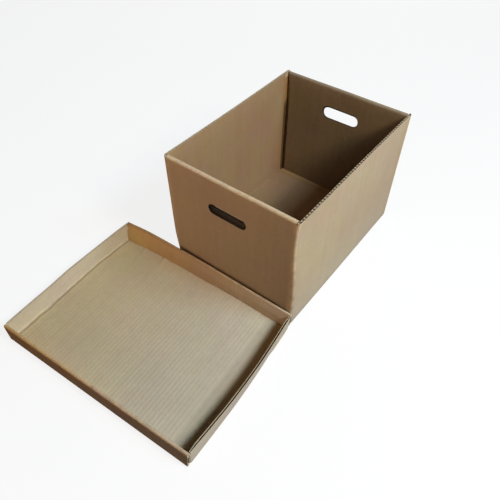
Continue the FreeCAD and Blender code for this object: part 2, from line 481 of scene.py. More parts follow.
# How far use has pushed the box's front folds and the back inner layer's left edge sideways by
# height, and its side walls inwards by length, as (place, shift) in metres.
FRONT_RIGHT_FOLD = ((0.0, -0.0006), (0.04, -0.0002), (0.092, 0.0), (0.14, -0.0018),
                    (0.18, -0.0047), (0.229, -0.0068), (0.275, -0.0058), (0.3, -0.003))
FRONT_LEFT_FOLD = ((0.0, 0.0105), (0.02, 0.0102), (0.04, 0.0088), (0.06, 0.006), (0.077, 0.0036),
                   (0.104, 0.0024), (0.21, 0.0018), (0.3, 0.0006))
PANEL_EDGE = ((0.0, 0.001), (0.1, 0.003), (0.2, 0.0048), (0.26, 0.0046), (0.296, 0.0022))
SIDE_BOW = ((-0.2225, 0.0), (-0.12, 0.0014), (0.0, 0.0022), (0.12, 0.0012), (0.2225, 0.0))

# Where each bend of the box begins and is at its fullest: towards the front, out to the side walls,
# up to the rim, on the side walls, on the end walls, and up from the foot.
TO_FRONT, TO_SIDE, TO_RIM = (-0.05, 0.2225), (0.0, 0.165), (0.0, 0.3)
ON_SIDE, ON_END, FROM_FOOT = (0.12, 0.16), (0.15, 0.2), (0.01, 0.12)
RIPPLE_HEIGHT, RIPPLE_X, RIPPLE_Z = 0.0003, 31, 17
# The back inner layer lies between the first two places along Y, and its left edge beyond the
# third along X.
BACK_LAYER_START, BACK_LAYER_END, BACK_LAYER_LEFT = 0.2, 0.2135, -0.15


def share(value, low, high):
    """How far a value has come from a low place to a high one, from 0 to 1."""
    return min(max((value - low) / (high - low), 0.0), 1.0)


def box_bend(corner):
    """How far use has pushed a point of the box out of true."""
    side_x, side_y = math.copysign(1, corner.x), math.copysign(1, corner.y)
    near_front = share(-corner.y, *TO_FRONT) ** 2
    fold = FRONT_RIGHT_FOLD if side_x > 0 else FRONT_LEFT_FOLD
    sideways = smooth_between(fold, corner.z) * near_front * share(abs(corner.x), *TO_SIDE)
    bow = smooth_between(SIDE_BOW, corner.y) * share(corner.z, *TO_RIM) ** 2
    sideways -= side_x * bow * share(abs(corner.x), *ON_SIDE)
    wave = 1 + math.sin(corner.x * RIPPLE_X + corner.z * RIPPLE_Z)
    ripple = RIPPLE_HEIGHT * wave * share(corner.z, *FROM_FOOT)
    if BACK_LAYER_START < corner.y < BACK_LAYER_END and corner.x < BACK_LAYER_LEFT:
        sideways += smooth_between(PANEL_EDGE, corner.z)
    return sideways, -side_y * ripple * share(abs(corner.y), *ON_END), 0.0


def lid_map(lid, board):
    """The rule that says where a point of the lid lies on its flat sheet."""
    half_length, half_width = lid.length / 2, lid.width / 2

    def rule(corner, normal):
        """Across the flutes and along them, for one corner of a face."""
        if abs(normal.z) > 0.75 and corner.z < lid.height / 2:
            return corner.x, corner.y
        if abs(corner.x) > half_length - 2 * board.crease and abs(normal.x) > abs(normal.y):
            return math.copysign(half_length + corner.z, corner.x), corner.y
        rolled = abs(corner.y) < half_width - board.roll
        run = 2 * lid.height - corner.z if rolled else corner.z
        return corner.x, math.copysign(half_width + run, corner.y)

    return rule


# How far use has pushed the lid's walls, as (place along the wall, shift) in metres: the rims, and
# the feet of the walls and of the long walls' inner layers.
BACK_RIM = ((-0.238, 0.0150), (-0.172, 0.0180), (-0.084, 0.0158), (-0.018, 0.0136),
            (0.069, 0.0084), (0.151, 0.0032), (0.2275, -0.0008))
BACK_FOOT = ((-0.238, 0.005), (-0.17, 0.006), (-0.06, 0.0055), (0.0, 0.005), (0.12, 0.002),
             (0.2, 0.0))
BACK_PANEL_FOOT = ((-0.235, 0.0006), (-0.19, 0.0008), (-0.168, 0.0024), (-0.113, 0.0034),
                   (-0.058, 0.0034), (-0.005, 0.0022), (0.051, 0.0034), (0.135, 0.003),
                   (0.172, 0.0012), (0.22, 0.0008))
FRONT_RIM = ((-0.238, 0.0016), (-0.1, 0.0022), (0.05, 0.003), (0.238, 0.0043))
LEFT_CREASE = ((-0.17, 0.003), (-0.132, 0.0032), (-0.105, 0.0026), (-0.08, 0.0031),
               (-0.048, 0.0015), (-0.02, 0.001), (0.015, -0.001), (0.045, -0.0006),
               (0.08, -0.0018), (0.12, 0.0012), (0.165, 0.0044))
LEFT_RIM = ((-0.178, 0.0008), (-0.142, 0.002), (-0.098, 0.0029), (-0.052, 0.0036),
            (-0.002, 0.006), (0.047, 0.0053), (0.099, 0.004), (0.154, 0.0021), (0.18, 0.0006))
RIGHT_RIM = ((-0.178, 0.0004), (-0.15, 0.0023), (-0.1, 0.0055), (-0.058, 0.0078), (0.0, 0.0087),
             (0.046, 0.0082), (0.1, 0.0055), (0.15, 0.0022), (0.178, -0.0008))
RIGHT_FOOT = ((-0.178, 0.0), (-0.09, 0.0025), (-0.023, 0.0034), (0.046, 0.0017), (0.09, -0.0006),
              (0.178, -0.003))
LEFT_WOBBLE = ((0.0006, 137, 0), (0.0005, 71, 1))
# How much of the back inner layer's shift the front one has.
FRONT_FOOT_SHARE = -0.7

# The bends fade in from this far inside a wall, and are full this far inside it.
BEND_START, LONG_WALL_DEPTH, SHORT_WALL_DEPTH = 0.06, 0.014, 0.012
# The inner layers hang no further inside a long wall than this, and this far down.
LAYER_DEPTH, LAYER_DROP = 0.0145, 0.036

# The rolled rims are pinched together, from below the roll to just over its start, as deep as this
# many roll radii, and their board and that of the tabs is squeezed.
PINCH_BELOW, PINCH_ABOVE = 0.014, 0.001
RIM_PINCH, RIM_SQUEEZE, TAB_SQUEEZE = 0.34, 0.36, 0.3
DOUBLED_DEPTH = 2.6

# Two small notches in the foot of the back inner layer.
NOTCHES = (-0.1718, -0.1118)
NOTCH_REACH, NOTCH_LIFT, NOTCH_ZONE = 0.005, 0.003, 0.001


def waves(place, parts):
    """Waves added up at a place, each with its height, rate and start."""
    return sum(height * math.sin(place * rate + start) for height, rate, start in parts)


def pinched(height, shoulder):
    """How far a height has come into the pinched part of a rolled rim, from 0 to 1."""
    return share(height, shoulder - PINCH_BELOW, shoulder + PINCH_ABOVE)


def lid_bend(lid, board):
    """The rule for how far use has pushed a point of the lid out of true."""
    shoulder = lid.height - board.roll
    wall_y = lid.width / 2
    wall_x = lid.length / 2

    def rule(corner):
        """The shift of one point, in the lid's own frame."""
        up = share(corner.z, 0.0, lid.height)
        beyond_y = share(abs(corner.y), wall_y - BEND_START, wall_y - LONG_WALL_DEPTH)
        beyond_x = share(abs(corner.x), wall_x - BEND_START, wall_x - SHORT_WALL_DEPTH)
        across, along = 0.0, 0.0
        if corner.y > 0:
            foot = smooth_between(BACK_FOOT, corner.x)
            along += (foot + (smooth_between(BACK_RIM, corner.x) - foot) * up) * beyond_y
            table = BACK_PANEL_FOOT
        else:
            along += smooth_between(FRONT_RIM, corner.x) * up * beyond_y
            table = tuple((place, shift * FRONT_FOOT_SHARE) for place, shift in BACK_PANEL_FOOT)
        hanging = wall_y - LAYER_DEPTH < abs(corner.y) < wall_y - 2 * board.roll + SLACK
        if hanging and corner.z > board.thickness and abs(corner.x) < wall_x - board.crease / 5:
            along += smooth_between(table, corner.x) * share(shoulder - corner.z, 0.0, LAYER_DROP)
        depth = wall_y - abs(corner.y)
        if depth < DOUBLED_DEPTH * board.roll and abs(corner.x) < wall_x + NEAR:
            pinch = pinched(corner.z, shoulder) * RIM_PINCH
            along += math.copysign(max(depth, 0.0) * pinch, corner.y)
        if corner.x < 0:
            foot = smooth_between(LEFT_CREASE, corner.y) + waves(corner.y, LEFT_WOBBLE)
            across += (foot * (1 - up) ** 2 - smooth_between(LEFT_RIM, corner.y) * up) * beyond_x
        else:
            across += (smooth_between(RIGHT_FOOT, corner.y) * (1 - up)
                       + smooth_between(RIGHT_RIM, corner.y) * up) * beyond_x
        at_foot = corner.y > 0 and hanging and corner.z < board.thickness + NOTCH_ZONE
        notched = at_foot and any(near(corner.x, place, SLACK) for place in NOTCHES)
        return across, along, NOTCH_LIFT if notched else 0.0

    return rule


# Heights above the crease at which the short walls are cut, so that the crease can be pressed in.
CREASE_CUTS = (0.0012, 0.0028, 0.0046, 0.0068, 0.0095)
LID_SLICES_X, LID_SLICES_Y, LID_SLICES_Z = 32, 22, 5
FOOT_ROUNDING = 0.9

# The pressed crease of a short wall: how far in and out of the wall it reaches, the heights
# between which it lies, the rise from which it turns to a ridge, and how it fades at its ends.
PRESSED_REACH, PRESSED_FADE = (0.008, 0.0045), 0.006
PRESSED_FROM, PRESSED_TO, CREASE_EDGE = 0.0046, 0.014, 0.0002
CREASE_SINK = 0.0009
RIDGE_HEIGHT, RIDGE_RISE, RIDGE_WIDTH = 0.0011, 0.0034, 0.0024
RIDGE_MEAN, RIDGE_WANDER = 0.75, ((0.25, 90, 0), (0.2, 41, 2))

# How deep the raw edges of the lid are open, how near the ends and the rim they are found, how
# squarely they point along an axis, and how many roll radii the inner layers' edges keep from the
# rim.
LAYER_EDGE_DEPTH, LID_RIM_DEPTH = 0.005, 0.008
LID_END_MARGIN, LID_TOP_MARGIN, LID_FACING, LAYER_EDGE_TOP = 0.004, 0.0012, 0.8, 2.2


def roll_wall(piece, board, lid, side):
    """Fold up a long wall of the lid, roll it over its rim and hang it inside."""
    half_y = lid.width / 2 - board.crease
    shoulder = lid.height - board.roll
    drop = (shoulder - board.thickness - PANEL_FOOT_GAP) / math.cos(lid.panel_slant)
    pick(piece, "EDGE", all_corners(lambda corner: near(corner.y, side * half_y)))
    fold_square((0, side * half_y, board.crease), (-side, 0, 0))
    extrude((0, 0, shoulder - board.crease))
    bpy.ops.mesh.spin(steps=ROLL_STEPS, angle=math.pi - lid.panel_slant,
                      center=(0, side * (lid.width / 2 - board.roll), shoulder),
                      axis=(-side, 0, 0))
    extrude((0, -side * drop * math.sin(lid.panel_slant), -drop * math.cos(lid.panel_slant)))


def raise_end(piece, board, lid, side, corner_y):
    """Fold up a short wall of the lid, and tuck a tab behind each of its ends."""
    crease, notch = board.crease, lid.height - 2 * board.roll
    half_x = lid.length / 2 - crease
    pick(piece, "EDGE", all_corners(
        lambda corner: near(corner.x, side * half_x) and near(corner.z, 0)
        and abs(corner.y) < corner_y + NEAR))
    fold_square((side * half_x, 0, crease), (0, side, 0))
    extrude((0, 0, notch - crease))
    extrude((0, 0, lid.height - notch))
    for end in (-1, 1):
        pick(piece, "EDGE", all_corners(
            lambda corner: near(corner.x, side * lid.length / 2)
            and near(corner.y, end * corner_y) and crease - NEAR < corner.z < notch + NEAR))
        fold_square((side * half_x, end * corner_y, 0), (0, 0, -side * end))
        extrude((-side * lid.tab, 0, 0))

    def in_tab(corner):
        """Whether a corner is one of those that join a tab to its fold."""
        return (near(abs(corner.y), corner_y + crease)
                and crease - NEAR < corner.z < notch + NEAR)

    pick(piece, "VERT", lambda corner: near(corner.co.x, side * half_x)
         and abs(corner.co.y) > corner_y + NEAR and corner.co.z < notch + 2 * board.roll
         and not in_tab(corner.co))
    bpy.ops.transform.translate(value=(side * (crease - CORNER_TRIM), 0, 0))


def fold_lid():
    """Fold the lid as one sheet, in its own frame."""
    scene = bpy.context.scene
    board, lid = scene.storage_board, scene.storage_lid
    crease = board.crease
    half_x, half_y = lid.length / 2 - crease, lid.width / 2 - crease
    corner_y = lid.width / 2 - 2 * board.roll - LAYER_GAP
    start_alone()
    bpy.ops.mesh.primitive_plane_add(size=1)
    piece = bpy.context.object
    piece.name = "storage_lid"
    piece.scale = (2 * half_x, 2 * half_y, 1)
    settle(piece)
    bpy.ops.object.mode_set(mode="EDIT")
    bpy.ops.mesh.flip_normals()
    slice_across([-corner_y, corner_y], "y")
    for side in (-1, 1):
        roll_wall(piece, board, lid, side)
    for side in (-1, 1):
        raise_end(piece, board, lid, side, corner_y)
    bpy.ops.mesh.select_all(action="SELECT")
    bpy.ops.mesh.remove_doubles(threshold=NEAR)
    slice_across(evenly(-half_x, half_x, LID_SLICES_X), "x")
    slice_across([place + step for place in NOTCHES for step in (-NOTCH_REACH, 0, NOTCH_REACH)],
                 "x")
    slice_across(evenly(-corner_y, corner_y, LID_SLICES_Y), "y")
    slice_across([crease + rise for rise in CREASE_CUTS], "z")
    slice_across(evenly(crease + CREASE_CUTS[-1], lid.height - board.roll, LID_SLICES_Z), "z")
    close_sheet()
    bpy.ops.object.mode_set(mode="OBJECT")
    round_feet(piece, half_x, corner_y, crease)
    lay_out(piece, lid_map(lid, board))
    return piece


def round_feet(piece, half_x, corner_y, crease):
    """Let the ends of the long walls follow the rounding of the short walls' creases."""
    for vertex in piece.data.vertices:
        x, y, z = vertex.co
        if abs(y) > corner_y + NEAR and abs(x) > half_x + NEAR and z < crease - NEAR:
            reach = math.sqrt(crease ** 2 - (crease - max(z, 0.0)) ** 2) * FOOT_ROUNDING
            vertex.co.x = math.copysign(half_x + max(reach, CORNER_TRIM), x)


def squeeze_tabs(piece, board, lid):
    """Mark how thick the board is: full, but squeezed at the rims and flat in the tucked tabs."""
    thickness = piece.vertex_groups.new(name="Thickness")
    tab_y = lid.width / 2 - 2 * board.roll - LAYER_GAP + board.crease
    shoulder = lid.height - board.roll
    inner_y = lid.width / 2 - DOUBLED_DEPTH * board.roll
    for vertex in piece.data.vertices:
        tab = near(abs(vertex.co.y), tab_y, SLACK) and vertex.co.z > board.crease / 2
        rim = pinched(vertex.co.z, shoulder) if abs(vertex.co.y) > inner_y else 0.0
        thickness.add([vertex.index], TAB_SQUEEZE if tab else 1.0 - RIM_SQUEEZE * rim, "REPLACE")
    return thickness


def press_creases(piece, board, lid):
    """Press the crease into the inner liner along the short walls, with the ridge beside it."""
    inner_x = lid.length / 2 - board.thickness
    reach_y = lid.width / 2 - 2 * board.roll - board.crease
    low_x, high_x = inner_x - PRESSED_REACH[0], inner_x + PRESSED_REACH[1]
    for vertex in piece.data.vertices:
        side, rise = math.copysign(1, vertex.co.x), vertex.co.z - board.crease
        within = share(reach_y - abs(vertex.co.y), 0.0, PRESSED_FADE)
        inside = low_x < abs(vertex.co.x) < high_x and vertex.co.z > PRESSED_FROM
        if not inside or rise > PRESSED_TO or not within:
            continue
        if rise < CREASE_EDGE:
            vertex.co.x += side * CREASE_SINK * within
            vertex.co.z -= CREASE_SINK * within
        else:
            wander = RIDGE_MEAN + waves(vertex.co.y, RIDGE_WANDER)
            ridge = RIDGE_HEIGHT * math.exp(-((rise - RIDGE_RISE) / RIDGE_WIDTH) ** 2)
            vertex.co.x -= side * ridge * wander * within


def finish_lid(piece):
    """Thicken the folded lid, open its raw edges, finish it and lay it on the floor."""
    scene = bpy.context.scene
    board, lid = scene.storage_board, scene.storage_lid
    sheet_finishes(piece, board, (board.lid_outer_kraft, LID_OUTER_WEAR_LIGHT_AND_SHADE),
                   (board.lid_inner_kraft, LID_WEAR_AND_SHADE))
    squeezed = squeeze_tabs(piece, board, lid)
    ease(piece, lid_bend(lid, board))
    thicken(piece, board, squeezed)
    press_creases(piece, board, lid)
    end_x = lid.length / 2 - LID_END_MARGIN
    top = lid.height - LID_TOP_MARGIN
    layer_top = lid.height - LAYER_EDGE_TOP * board.roll
    open_edges(piece, board, LAYER_EDGE_DEPTH, lambda face: abs(middle(face).x) > end_x
               and abs(face.normal.x) > LID_FACING
               and 2 * board.crease < middle(face).z < layer_top)
    open_edges(piece, board, LID_RIM_DEPTH, lambda face: middle(face).z > top
               and abs(face.normal.z) > LID_FACING and middle(face).x > 0)
    piece.rotation_euler.z = lid.turn
    piece.location = MOUNTS["lid_underside"]
    settle(piece)
    round_off(piece, LID_LOW, LID_HIGH)
    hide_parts("lid")
    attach(piece, "root")


class Nodes:
    """A node tree that is built one node after another."""

    def __init__(self, tree):
        self.tree = tree

    def feed(self, socket, value):
        """Link a socket to another, or set it to a plain value."""
        if isinstance(value, bpy.types.NodeSocket):
            self.tree.links.new(value, socket)
        elif value is not None:
            socket.default_value = value

    def add(self, kind, *values, **settings):
        """Add a node of a kind, feed its first sockets in order, and give its outputs."""
        node = self.tree.nodes.new("ShaderNode" + kind)
        for name, setting in settings.items():
            setattr(node, name, setting)
        for socket, value in zip(node.inputs, values):
            self.feed(socket, value)
        return node.outputs

    def math(self, operation, *values):
        """One sum."""
        return self.add("Math", *values, operation=operation)[0]

    def mix(self, part, first, second):
        """Two shaders, mixed."""
        return self.add("MixShader", part, first, second)[0]


class Finish(Nodes):
    """A material for a surface, with what paper needs."""

    def __init__(self, name):
        self.material = bpy.data.materials.new(name)
        self.material.use_nodes = True
        super().__init__(self.material.node_tree)
        self.shader = self.tree.nodes["Principled BSDF"]

    def places(self):
        """The place in the object's frame: whole, in parts, and away from the middle."""
        whole = self.add("TexCoord")["Object"]
        place = dict(zip("xyz", self.add("SeparateXYZ", whole)), whole=whole)
        place["side"] = self.math("ABSOLUTE", place["x"])
        place["end"] = self.math("ABSOLUTE", place["y"])
        return place

    def sheet_places(self):
        """The same, with the place on the flat sheet and the lines that marks lie on."""
        place = self.places()
        flat = self.add("SeparateXYZ", self.add("UVMap", uv_map="Flutes")[0])
        place["across"], place["along"] = flat[0], flat[1]
        place["far across"] = self.math("ABSOLUTE", flat[0])
        place["far along"] = self.math("ABSOLUTE", flat[1])
        place["diagonal"] = self.math("MULTIPLY", place["x"], place["y"])
        place["slant"] = self.math("MULTIPLY_ADD", place["z"], CREASE_SLANT, place["x"])
        return place

    def noise(self, vector, scale, detail=2.0, roughness=0.5):
        """Soft noise between about 0 and 1."""
        return self.add("TexNoise", vector, None, scale, detail, roughness)["Fac"]

    def spread(self, value, low, high, first=0.0, last=1.0):
        """Stretch a value from one range to another, with soft ends."""
        return self.add("MapRange", value, low, high, first, last,
                        interpolation_type="SMOOTHSTEP")[0]

    def band(self, value, centre, half):
        """1 along a line, falling to 0 at half the band's width."""
        return self.spread(self.math("ABSOLUTE", self.math("SUBTRACT", value, centre)),
                           half, 0.0)

    def sway(self, fac, amount):
        """Noise turned into a factor about 1, up and down by an amount."""
        return self.math("MULTIPLY_ADD", fac, 2 * amount, 1 - amount)

    def product(self, *factors):
        """All factors multiplied."""
        total = factors[0]
        for factor in factors[1:]:
            total = self.math("MULTIPLY", total, factor)
        return total

    def zone(self, value, *limits):
        """A value as it is, a band on it, or the soft-ended range of it that a mark fills."""
        if not limits:
            return value
        if limits[0] == ON:
            return self.band(value, *limits[1:])
        return self.spread(value, *limits)

    def marked(self, place, marks, value=0.0):
        """A value with marks added, each as strong as it says within its zones."""
        for strength, *zones in marks:
            shape = self.product(*(self.zone(place[name], *limits) for name, *limits in zones))
            value = self.math("MULTIPLY_ADD", shape, strength, value)
        return value

    def rubbed(self, place, folds, patches):
        """Where folds are rubbed pale, in patches that noise makes."""
        pale, *others = (self.marked(place, marks) for marks in folds)
        for other in others:
            pale = self.math("MAXIMUM", pale, other)
        return self.product(pale, self.spread(self.noise(place["whole"], 60.0, 4.0), *patches))

    def paint(self, colour, value, saturation=1.0, hue=0.5):
        """Give the shader its colour, made lighter or darker by a value."""
        tone = self.add("HueSaturation", hue, saturation, value, 1.0, (*colour, 1))[0]
        self.feed(self.shader.inputs["Base Color"], tone)

    def raise_by(self, height):
        """Raise the surface by a height in metres."""
        bump = self.tree.nodes.new("ShaderNodeBump")
        bump.inputs["Strength"].default_value = 1.0
        bump.inputs["Distance"].default_value = 1.0
        self.feed(bump.inputs["Height"], height)
        self.feed(self.shader.inputs["Normal"], bump.outputs[0])


# What use has left on the sheets, and the light and shade painted on them. A mark has its
# strength, which is how much lighter or darker it makes the paper, and its zones. A zone names a
# place, then where along it the mark is nil and where it is full; or ON, the middle of a band and
# half its width; or nothing, and then the mark grows with the place itself.
ON = "on"
CREASE_SLANT = 0.3

FRONT_FOLDS = (("side", 0.146, 0.159), ("end", 0.2145, 0.2195))
INNER_LAYERS = (("end", 0.2175, 0.2145), ("far across", 3.0, 3.1), ("z", 0.297, 0.292))
ON_BOX_FLOOR = ("far across", 0.3, 0.23)
ON_FRONT = ("y", -0.2145, -0.2175)
RIGHT_FOOT_PART = (("x", 0.158, 0.16), ("z", 0.16, 0.0))
BOX_WEAR_AND_SHADE = {
    "folds": (
        ((1.0, *FRONT_FOLDS), (0.3, *FRONT_FOLDS, ("x", -0.1, 0.1))),
        ((1.0, ("z", 0.2925, 0.2975), ("y", -0.205, -0.209)),),
        ((1.0, ("z", 0.004, 0.0)),),
    ),
    "patches": (0.35, 0.6, 0.35, 1.0),
    "marks": (
        # The two scores across the floor, and the strip beyond them.
        (0.06, ("across", 0.2003, 0.2013), ON_BOX_FLOOR),
        (-0.24, ("across", ON, 0.2003, 0.0014), ON_BOX_FLOOR),
        (-0.24, ("across", ON, 0.1925, 0.0012), ON_BOX_FLOOR),
        # Painted shade on the inner layers of the ends, most at the right of the back one; and they
        # are creased.
        (-0.45, *INNER_LAYERS),
        (-0.066, *INNER_LAYERS, ("y", 0.19, 0.2), ("x", -0.1, 0.0)),
        (0.075, *INNER_LAYERS, ("slant", ON, 0.074, 0.003)),
        # Painted shade on the front end, darker towards its right and its foot.
        (-0.2829, ON_FRONT),
        (-0.819, ("x",), ON_FRONT),
        (1.53, ("z",), ON_FRONT),
        # Painted shade down the back left corner, in the gap beside the back inner layer.
        (-0.69, ("y", 0.2035, 0.2055), ("x", -0.1565, -0.158), ("x", -0.1635, -0.1625),
         ("z", 0.24, 0.2), ("end", 0.2195, 0.2185)),
        # Two worn corners of the rim, and painted shade on the top of the back rim.
        (-0.54, ("z", 0.291, 0.295), ("side", 0.158, 0.161), ("end", 0.2165, 0.219),
         ("diagonal", 0.0, 0.01)),
        (-0.39, ("y", 0.205, 0.209), ("z", 0.2925, 0.2965), ("side", 0.1575, 0.1565)),
        # Painted shade in the gap between the two layers of an end.
        (-0.885, ("end", 0.2148, 0.2152), ("end", 0.2198, 0.2194), ("side", 0.157, 0.1555),
         ("z", 0.29, 0.286)),
        # Painted light: the right side wall paler towards its foot.
        (0.035, *RIGHT_FOOT_PART),
    ),
    "richness": (
        # Painted shade: the back end's inner layer richer in colour. Painted light: the right side
        # wall greyer towards its foot.
        (0.14, ("y", 0.19, 0.2), ("y", 0.2175, 0.2165), ("z", 0.295, 0.29)),
        (-0.13, *RIGHT_FOOT_PART),
    ),
}

BETWEEN_ENDS = ("far along", 0.173, 0.17)
ON_LID_FLOOR = ("far across", 0.242, 0.236)
BACK_LAYER = ("along", 0.2285, 0.2315)
END_WALL = ("across", 0.24, 0.25)
LID_WEAR_AND_SHADE = {
    "folds": (
        ((1.0, ("far across", ON, 0.2455, 0.003), BETWEEN_ENDS),),
        ((1.0, ("far along", ON, 0.2242, 0.005)),),
    ),
    "patches": (0.3, 0.6),
    "smooth_from": (0.187, 0.191),
    "marks": (
        # Painted shade on the outer layer of the front wall.
        (-0.54, ("along", -0.224, -0.217), ("along", -0.1785, -0.181)),
        # Painted shade on the far side of the back rim; and the back wall's inner layer, paler to
        # the left.
        (-0.6, ("along", ON, 0.2236, 0.0028), ("across", 0.02, -0.02)),
        (0.045, BACK_LAYER),
        (0.24, BACK_LAYER, ("across", 0.06, -0.22)),
        # On the floor: a flattened strip at the right, a short score and a speck.
        (-0.15, ("across", 0.187, 0.19), ("far across", 0.232, 0.23), BETWEEN_ENDS),
        (-0.105, ("across", ON, 0.139, 0.0011), ("along", 0.06, 0.09), BETWEEN_ENDS),
        (-0.6, ("across", ON, 0.0095, 0.0017), ("along", ON, -0.0848, 0.0014)),
        # A crushed spot on the front rim.
        (-0.33, ("across", ON, 0.012, 0.007), ("along", ON, -0.2232, 0.006)),
        # Painted shade in the notches in the back wall's inner layer.
        *((-0.57, ("across", ON, notch, 0.0028), ("along", 0.2628, 0.2645)) for notch in NOTCHES),
        # Painted shade along the pressed creases of the short walls.
        (-0.48, ("far across", ON, 0.2306, 0.0038), BETWEEN_ENDS),
    ),
    "richness": (
        # Painted light and shade: the floor richer in colour on the left, away from the cool light,
        # greyer on the right, and richer in the right wall's shadow.
        (-0.22, ON_LID_FLOOR),
        (0.47, ("across", 0.21, -0.21), ON_LID_FLOOR),
        (0.6, ("across", 0.196, 0.216), ("far along", 0.175, 0.171), ON_LID_FLOOR),
    ),
}
# Outside, the short wall on the right also gets painted light: paler and greyer.
LID_OUTER_WEAR_LIGHT_AND_SHADE = {
    **LID_WEAR_AND_SHADE,
    "marks": (*LID_WEAR_AND_SHADE["marks"], (0.2, END_WALL)),
    "richness": (*LID_WEAR_AND_SHADE["richness"], (-0.4, END_WALL)),
}


def kraft_finish(name, board, colour, washboard, shade, wear_light_and_shade):
    """Kraft liner: cloudy paper with fibres and flecks, showing the flutes that it is glued to."""
    finish = Finish(name)
    place = finish.sheet_places()
    whole, across, along = place["whole"], place["across"], place["along"]

    def stretched(rate_across, rate_along, *kind):
        """Noise that is stretched along the sheet."""
        return finish.noise(finish.add("CombineXYZ", finish.math("MULTIPLY", across, rate_across),
                                       finish.math("MULTIPLY", along, rate_along))[0], 1.0, *kind)

    wander = finish.noise(finish.add("CombineXYZ", across, along)[0], 9.0)
    phase = finish.math("MULTIPLY_ADD", wander, 0.0035, across)
    wave = finish.math("SINE", finish.math("MULTIPLY", phase, 2 * math.pi / board.pitch))
    clouds = finish.noise(whole, 8.0, 3.0)
    mottle = finish.noise(whole, 95.0, 5.0, 0.62)
    grain = finish.noise(whole, 520.0, 3.0, 0.6)
    fibres = stretched(220.0, 1500.0, 3.0, 0.6)
    streaks = stretched(75.0, 2.5, 3.0)
    flecks = finish.tree.nodes.new("ShaderNodeTexVoronoi")
    flecks.inputs["Scale"].default_value = 130.0
    finish.feed(flecks.inputs["Vector"], whole)
    fleck = finish.product(finish.spread(flecks.outputs["Distance"], 0.09, 0.03),
                           finish.spread(finish.noise(whole, 70.0, 0.0), 0.56, 0.66))
    ridge = finish.product(wave, finish.spread(clouds, 0.3, 0.7, 0.6, 1.0),
                           finish.spread(place["far across"], 0.232, 0.236, 1.0, 0.3))
    if "smooth_from" in wear_light_and_shade:
        ridge = finish.product(ridge, finish.spread(across, *wear_light_and_shade["smooth_from"], 1.0, 0.15))

    value = finish.product(
        *(finish.sway(noise, amount) for noise, amount in (
            (clouds, 0.07), (mottle, 0.13), (fibres, 0.08), (grain, 0.1), (streaks, 0.08))),
        finish.math("MULTIPLY_ADD", ridge, shade, 1.0),
        finish.math("MULTIPLY_ADD", fleck, -0.28, 1.0))
    pale = finish.rubbed(place, wear_light_and_shade["folds"], wear_light_and_shade["patches"])
    value = finish.marked(place, wear_light_and_shade["marks"], finish.math("MULTIPLY_ADD", pale, 0.3, value))
    saturation = finish.product(finish.sway(finish.noise(whole, 21.0, 2.0), 0.1),
                                finish.marked(place, wear_light_and_shade["richness"], 1.0))
    hue = finish.math("MULTIPLY_ADD", finish.noise(whole, 10.0, 2.0), 0.05, 0.475)
    finish.paint(colour, value, saturation, hue)

    height = finish.math("MULTIPLY", ridge, washboard)
    height = finish.math("MULTIPLY_ADD", mottle, 0.00006, height)
    finish.raise_by(finish.math("MULTIPLY_ADD", fibres, 0.00003, height))
    finish.feed(finish.shader.inputs["Roughness"], finish.spread(mottle, 0.3, 0.7, 0.72, 0.9))
    finish.shader.inputs["Specular IOR Level"].default_value = 0.35
    return finish.material


# On cut edges, painted shade: the right rim darker between its flutes, and the hand holes' edges
# darker.
CUT_MARKS = (
    (-0.7, ("flutes", 0.25, -0.35), ("z", 0.296, 0.298), ("x", 0.1632, 0.1622), ("x", 0.0, 0.01)),
    (-0.8, ("side", 0.062, 0.06), ("z", 0.19, 0.2), ("z", 0.28, 0.27)),
)


def cut_finish(name, colour, depth, pitch):
    """Paper where the board is cut: ragged, and darker between its fibres."""
    finish = Finish(name)
    place = finish.places()
    place["flutes"] = finish.math(
        "SINE", finish.math("MULTIPLY", place["y"], 2 * math.pi / pitch))
    ragged = finish.noise(place["whole"], 420.0, 5.0, 0.7)
    patches = finish.noise(place["whole"], 90.0, 2.0)
    finish.paint(colour, finish.product(finish.sway(ragged, depth), finish.sway(patches, 0.15),
                                        finish.marked(place, CUT_MARKS, 1.0)))
    finish.raise_by(finish.math("MULTIPLY", ragged, 0.0002))
    finish.shader.inputs["Roughness"].default_value = 0.95
    return finish.material


# Each liner's washboard height, in metres, and how much its ridges are shaded.
OUTER_LINER, INNER_LINER = (0.00007, 0.018), (0.00012, 0.035)
# How ragged the cut liners and the fluted paper are, and how dark the painted shade inside the
# flutes is.
LINER_RAGGED, MEDIUM_RAGGED, HOLLOW_SHADE = 0.25, 0.3, 0.14


def sheet_finishes(piece, board, outer, inner):
    """Give a folded sheet its finishes: each liner's are its colour, its marks of use and its
    painted light and shade.
    """
    label = piece.name.replace("storage_", "").capitalize()
    painted_flute_shade = [part * HOLLOW_SHADE for part in board.medium_kraft]
    for finish in (
            kraft_finish(f"{label} outer liner", board, outer[0], *OUTER_LINER, outer[1]),
            cut_finish(f"{label} cut edge", board.edge_kraft, LINER_RAGGED, board.pitch),
            kraft_finish(f"{label} inner liner", board, inner[0], *INNER_LINER, inner[1]),
            cut_finish(f"{label} flute hollow", painted_flute_shade, MEDIUM_RAGGED, board.pitch)):
        piece.data.materials.append(finish)


DAYLIGHT = (0.56, 0.81, 1.0)
SCENE_MIDDLE = (0, -0.2, 0.1)
